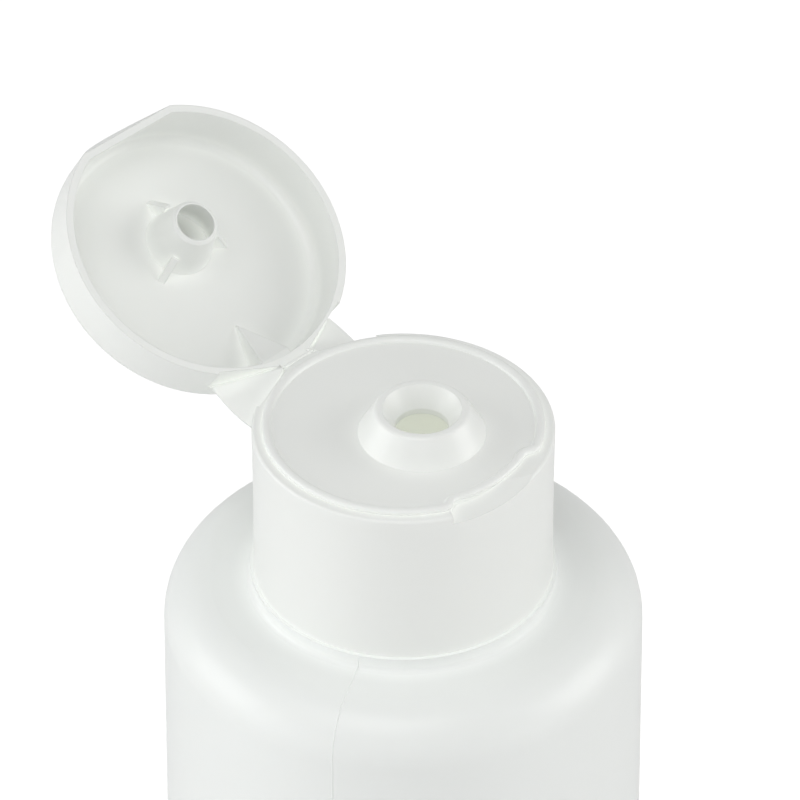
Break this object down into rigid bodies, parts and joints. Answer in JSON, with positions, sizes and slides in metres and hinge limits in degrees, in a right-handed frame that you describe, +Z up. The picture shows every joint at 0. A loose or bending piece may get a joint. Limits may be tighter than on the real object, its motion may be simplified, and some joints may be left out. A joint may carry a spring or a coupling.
{
  "type": "gel squeeze bottle",
  "caption": "White round squeeze bottle for ultrasound gel with a screw-on flip-top cap, its lid standing open on a butterfly hinge.",
  "frame": {"origin": "middle of the standing ring under the base", "axes": "+Z up along the bottle's axis, -Y towards the thumb notch, +Y towards the lid's hinge"},
  "size_m": [0.051, 0.0717, 0.1762],
  "materials": {
    "bottle_plastic": "satin white high-density polyethylene",
    "cap_plastic": "smooth white polypropylene"
  },
  "bodies": {
    "bottle": {"bottle": "bottle_plastic"},
    "closure": {"closure": "cap_plastic"},
    "lid": {"lid": "cap_plastic"},
    "wing_left": {"hinge_wing_left": "cap_plastic"},
    "wing_right": {"hinge_wing_right": "cap_plastic"}
  },
  "joints": [
    {"name": "cap_lift", "type": "slide", "parent": "bottle", "child": "closure", "axis": [0, 0, 1], "range_m": [0, 0.021]},
    {"name": "lid_hinge", "type": "hinge", "parent": "closure", "child": "lid", "pos_m": [0, 0.0162, 0.15988], "axis": [1, 0, 0], "range_deg": [0, 147.4]},
    {"name": "wing_left_fold", "type": "hinge", "parent": "closure", "child": "wing_left", "pos_m": [-0.0022, 0.0162, 0.15988], "axis": [-0.8197, -0.3435, -0.4584], "range_deg": [-86, 0]},
    {"name": "wing_right_fold", "type": "hinge", "parent": "closure", "child": "wing_right", "pos_m": [0.0022, 0.0162, 0.15988], "axis": [0.8197, -0.3435, -0.4584], "range_deg": [0, 86]}
  ],
  "couplings": [
    {"joint": "wing_left_fold", "follows": "lid_hinge", "ratio": -0.57581},
    {"joint": "wing_right_fold", "follows": "lid_hinge", "ratio": 0.57581}
  ]
}
